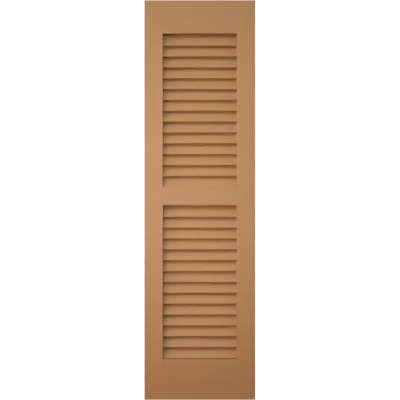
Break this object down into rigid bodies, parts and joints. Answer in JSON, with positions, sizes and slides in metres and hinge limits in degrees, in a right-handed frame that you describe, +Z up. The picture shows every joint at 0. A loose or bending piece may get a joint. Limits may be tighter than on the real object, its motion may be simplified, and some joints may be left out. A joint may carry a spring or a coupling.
{
  "type": "louvred shutter panel",
  "caption": "Exterior shutter panel: painted wooden stiles and rails framing an upper and a lower field of fixed, overlapping sloped louvres.",
  "frame": {"origin": "centre of the panel's back face, on the middle rail, where the panel lies against a wall", "axes": "+Y out of the back face towards the wall, -Y out of the front; +Z up along the stiles; +X to the right seen from the front"},
  "size_m": [0.381, 0.0349, 1.3716],
  "materials": {
    "painted_wood": "satin tan exterior paint on sanded timber",
    "dowel_beech": "bare turned beech"
  },
  "bodies": {
    "root": {"left_stile": "painted_wood", "right_stile": "painted_wood", "top_rail": "painted_wood", "middle_rail": "painted_wood", "bottom_rail": "painted_wood", "upper_louvre_01": "painted_wood", "upper_louvre_02": "painted_wood", "upper_louvre_03": "painted_wood", "upper_louvre_04": "painted_wood", "upper_louvre_05": "painted_wood", "upper_louvre_06": "painted_wood", "upper_louvre_07": "painted_wood", "upper_louvre_08": "painted_wood", "upper_louvre_09": "painted_wood", "upper_louvre_10": "painted_wood", "upper_louvre_11": "painted_wood", "upper_louvre_12": "painted_wood", "upper_louvre_13": "painted_wood", "upper_louvre_14": "painted_wood", "lower_louvre_01": "painted_wood", "lower_louvre_02": "painted_wood", "lower_louvre_03": "painted_wood", "lower_louvre_04": "painted_wood", "lower_louvre_05": "painted_wood", "lower_louvre_06": "painted_wood", "lower_louvre_07": "painted_wood", "lower_louvre_08": "painted_wood", "lower_louvre_09": "painted_wood", "lower_louvre_10": "painted_wood", "lower_louvre_11": "painted_wood", "lower_louvre_12": "painted_wood", "lower_louvre_13": "painted_wood", "lower_louvre_14": "painted_wood", "top_left_dowel_1": "dowel_beech", "top_left_dowel_2": "dowel_beech", "top_right_dowel_1": "dowel_beech", "top_right_dowel_2": "dowel_beech", "middle_left_dowel_1": "dowel_beech", "middle_left_dowel_2": "dowel_beech", "middle_right_dowel_1": "dowel_beech", "middle_right_dowel_2": "dowel_beech", "bottom_left_dowel_1": "dowel_beech", "bottom_left_dowel_2": "dowel_beech", "bottom_left_dowel_3": "dowel_beech", "bottom_right_dowel_1": "dowel_beech", "bottom_right_dowel_2": "dowel_beech", "bottom_right_dowel_3": "dowel_beech"}
  },
  "joints": []
}
